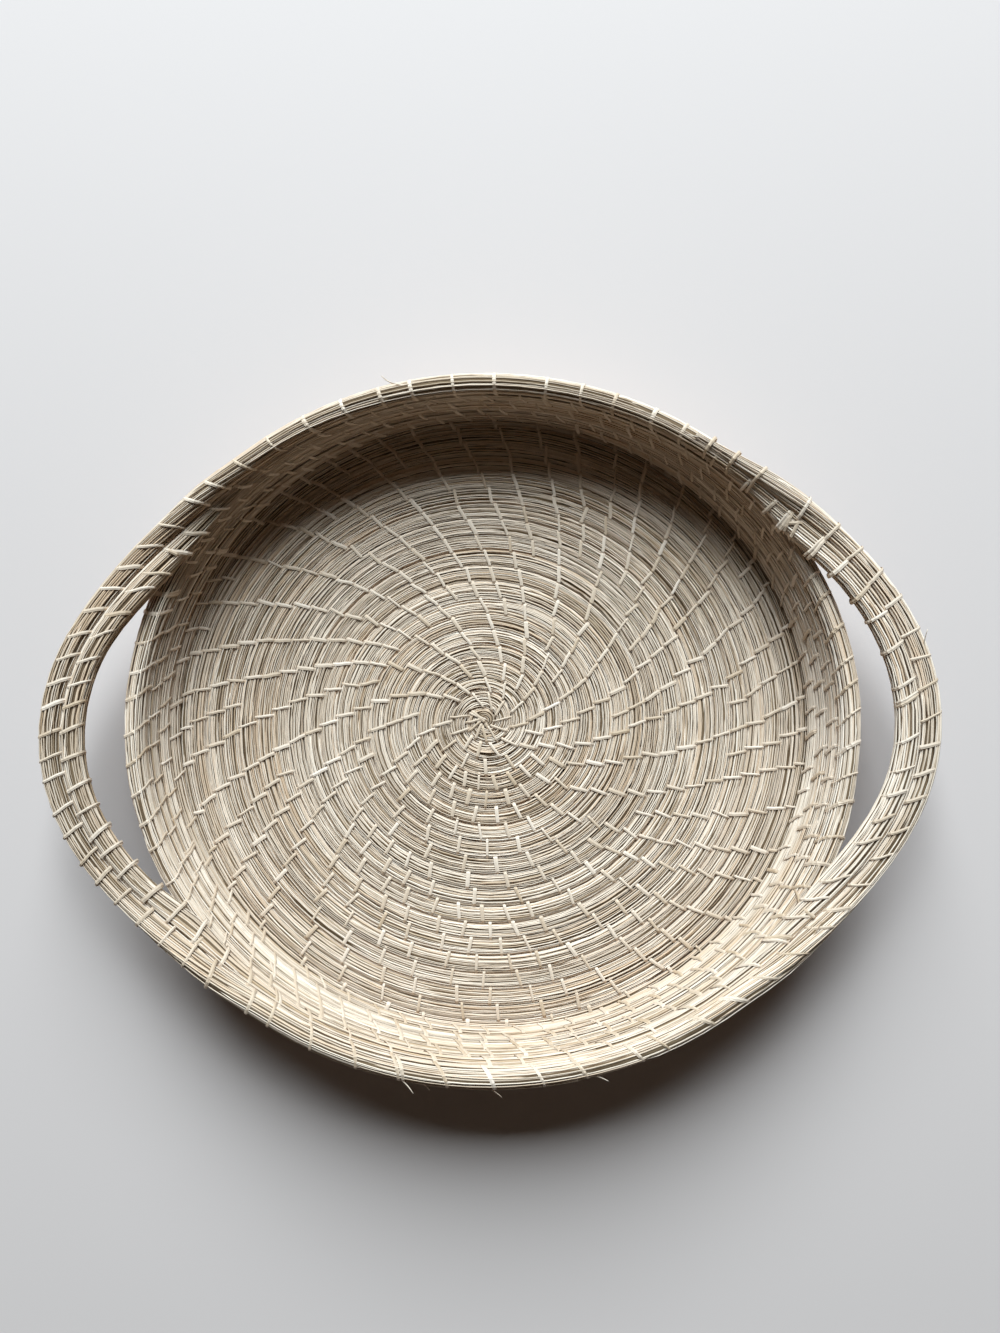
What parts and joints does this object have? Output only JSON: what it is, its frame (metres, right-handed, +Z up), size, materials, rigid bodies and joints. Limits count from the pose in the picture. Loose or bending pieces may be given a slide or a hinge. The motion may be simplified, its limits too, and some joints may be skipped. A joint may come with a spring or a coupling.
{
  "type": "coiled grass tray",
  "caption": "Round coiled tray of dry grass with a low leaning wall and a rim that bows out into loop handles at both ends.",
  "frame": {"origin": "under the middle of the tray's box, on the surface that it stands on", "axes": "+X along the line of the handles, to the right in the picture, +Y to the back, +Z up"},
  "size_m": [0.4524, 0.3548, 0.0628],
  "materials": {
    "grass": "matt dry grass stalks in a bundle",
    "strand": "matt split grass strand"
  },
  "bodies": {
    "root": {"start_knot": "grass", "base_coil": "grass", "wall_coil": "grass", "rim_coil": "grass", "stitch_line_01": "strand", "stitch_line_02": "strand", "stitch_line_03": "strand", "stitch_line_04": "strand", "stitch_line_05": "strand", "stitch_line_06": "strand", "stitch_line_07": "strand", "stitch_line_08": "strand", "stitch_line_09": "strand", "stitch_line_10": "strand", "stitch_line_11": "strand", "stitch_line_12": "strand", "stitch_line_13": "strand", "stitch_line_14": "strand", "stitch_line_15": "strand", "stitch_line_16": "strand", "stitch_line_17": "strand", "stitch_line_18": "strand", "stitch_line_19": "strand", "stitch_line_20": "strand", "stitch_line_21": "strand", "stitch_line_22": "strand", "stitch_line_23": "strand", "stitch_line_24": "strand", "right_handle_wrap": "strand", "left_handle_wrap": "strand"}
  },
  "joints": []
}
